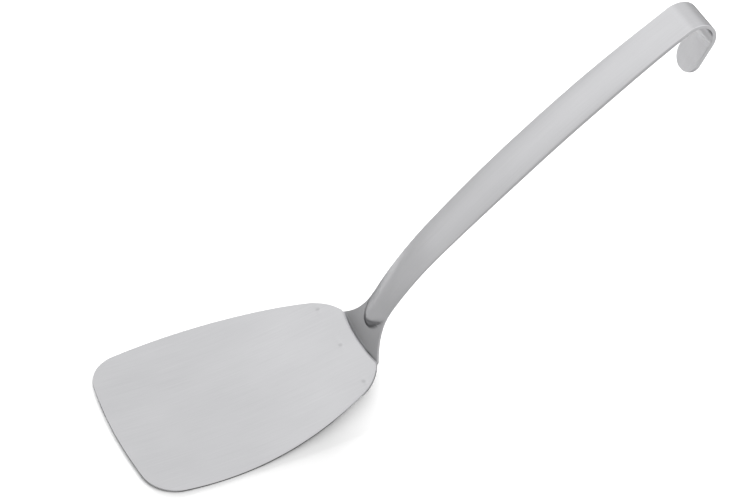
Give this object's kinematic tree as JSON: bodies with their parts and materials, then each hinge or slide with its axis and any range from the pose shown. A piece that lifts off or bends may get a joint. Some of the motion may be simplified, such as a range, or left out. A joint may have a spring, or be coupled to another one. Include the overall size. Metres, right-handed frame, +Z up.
{
  "type": "spatula",
  "caption": "Stainless steel kitchen spatula: broad rolled blade spot welded onto a pressed strip handle that turns up steeply at the heel, arches back and ends in a hanging hook.",
  "frame": {"origin": "bottom centre of the bounding box, on the plane the blade rests on", "axes": "+X from the blade towards the hook, +Y across the blade, +Z up"},
  "size_m": [0.3194, 0.0994, 0.1571],
  "materials": {
    "brushed_steel": "satin stainless steel with a fine lengthwise grain",
    "weld_steel": "dull stainless steel of the weld nuggets"
  },
  "bodies": {
    "root": {"blade": "brushed_steel", "handle": "brushed_steel", "spot_weld_left": "weld_steel", "spot_weld_middle": "weld_steel", "spot_weld_right": "weld_steel"}
  },
  "joints": []
}
